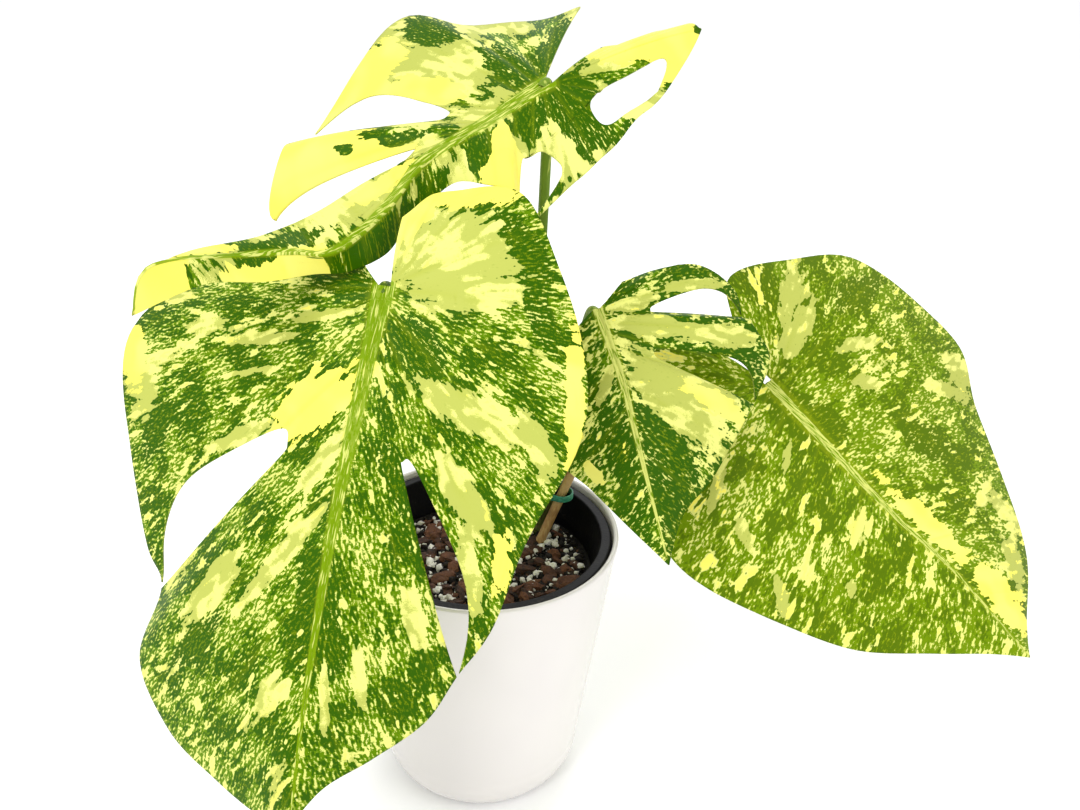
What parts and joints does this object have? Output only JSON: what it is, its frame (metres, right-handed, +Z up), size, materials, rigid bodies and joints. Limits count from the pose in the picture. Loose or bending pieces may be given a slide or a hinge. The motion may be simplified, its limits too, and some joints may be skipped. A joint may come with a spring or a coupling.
{
  "type": "potted monstera plant",
  "caption": "Variegated monstera houseplant with split and whole leaves on petioles, growing in a black nursery pot inside a tapered white glazed pot.",
  "frame": {"origin": "centre of the flat underside of the white pot's foot", "axes": "+Z up along the pot's axis, the front that faces the viewer is -Y, +X is the viewer's right"},
  "size_m": [0.5037, 0.3069, 0.4391],
  "materials": {
    "white_glaze": "gloss",
    "black_plastic": "satin",
    "potting_mix": "matte",
    "stem_green": "satin",
    "stake_wood": "matte",
    "tie_teal": "satin",
    "petiole_green": "satin",
    "leaf_front": "satin",
    "leaf_top": "satin",
    "leaf_middle": "satin",
    "leaf_right": "satin",
    "bark": "matte",
    "perlite": "matte"
  },
  "bodies": {
    "root": {"outer_pot": "white_glaze", "nursery_pot": "black_plastic", "soil": "potting_mix", "stem": "stem_green", "stake": "stake_wood", "plant_tie": "tie_teal", "petiole_front": "petiole_green", "petiole_top": "petiole_green", "petiole_middle": "petiole_green", "petiole_right": "petiole_green", "leaf_front": "leaf_front", "leaf_top": "leaf_top", "leaf_middle": "leaf_middle", "leaf_right": "leaf_right", "bark_chip_1": "bark", "bark_chip_2": "bark", "bark_chip_3": "bark", "bark_chip_4": "bark", "bark_chip_5": "bark", "perlite_1": "perlite", "perlite_2": "perlite", "perlite_3": "perlite", "perlite_4": "perlite", "perlite_5": "perlite", "perlite_6": "perlite"}
  },
  "joints": []
}
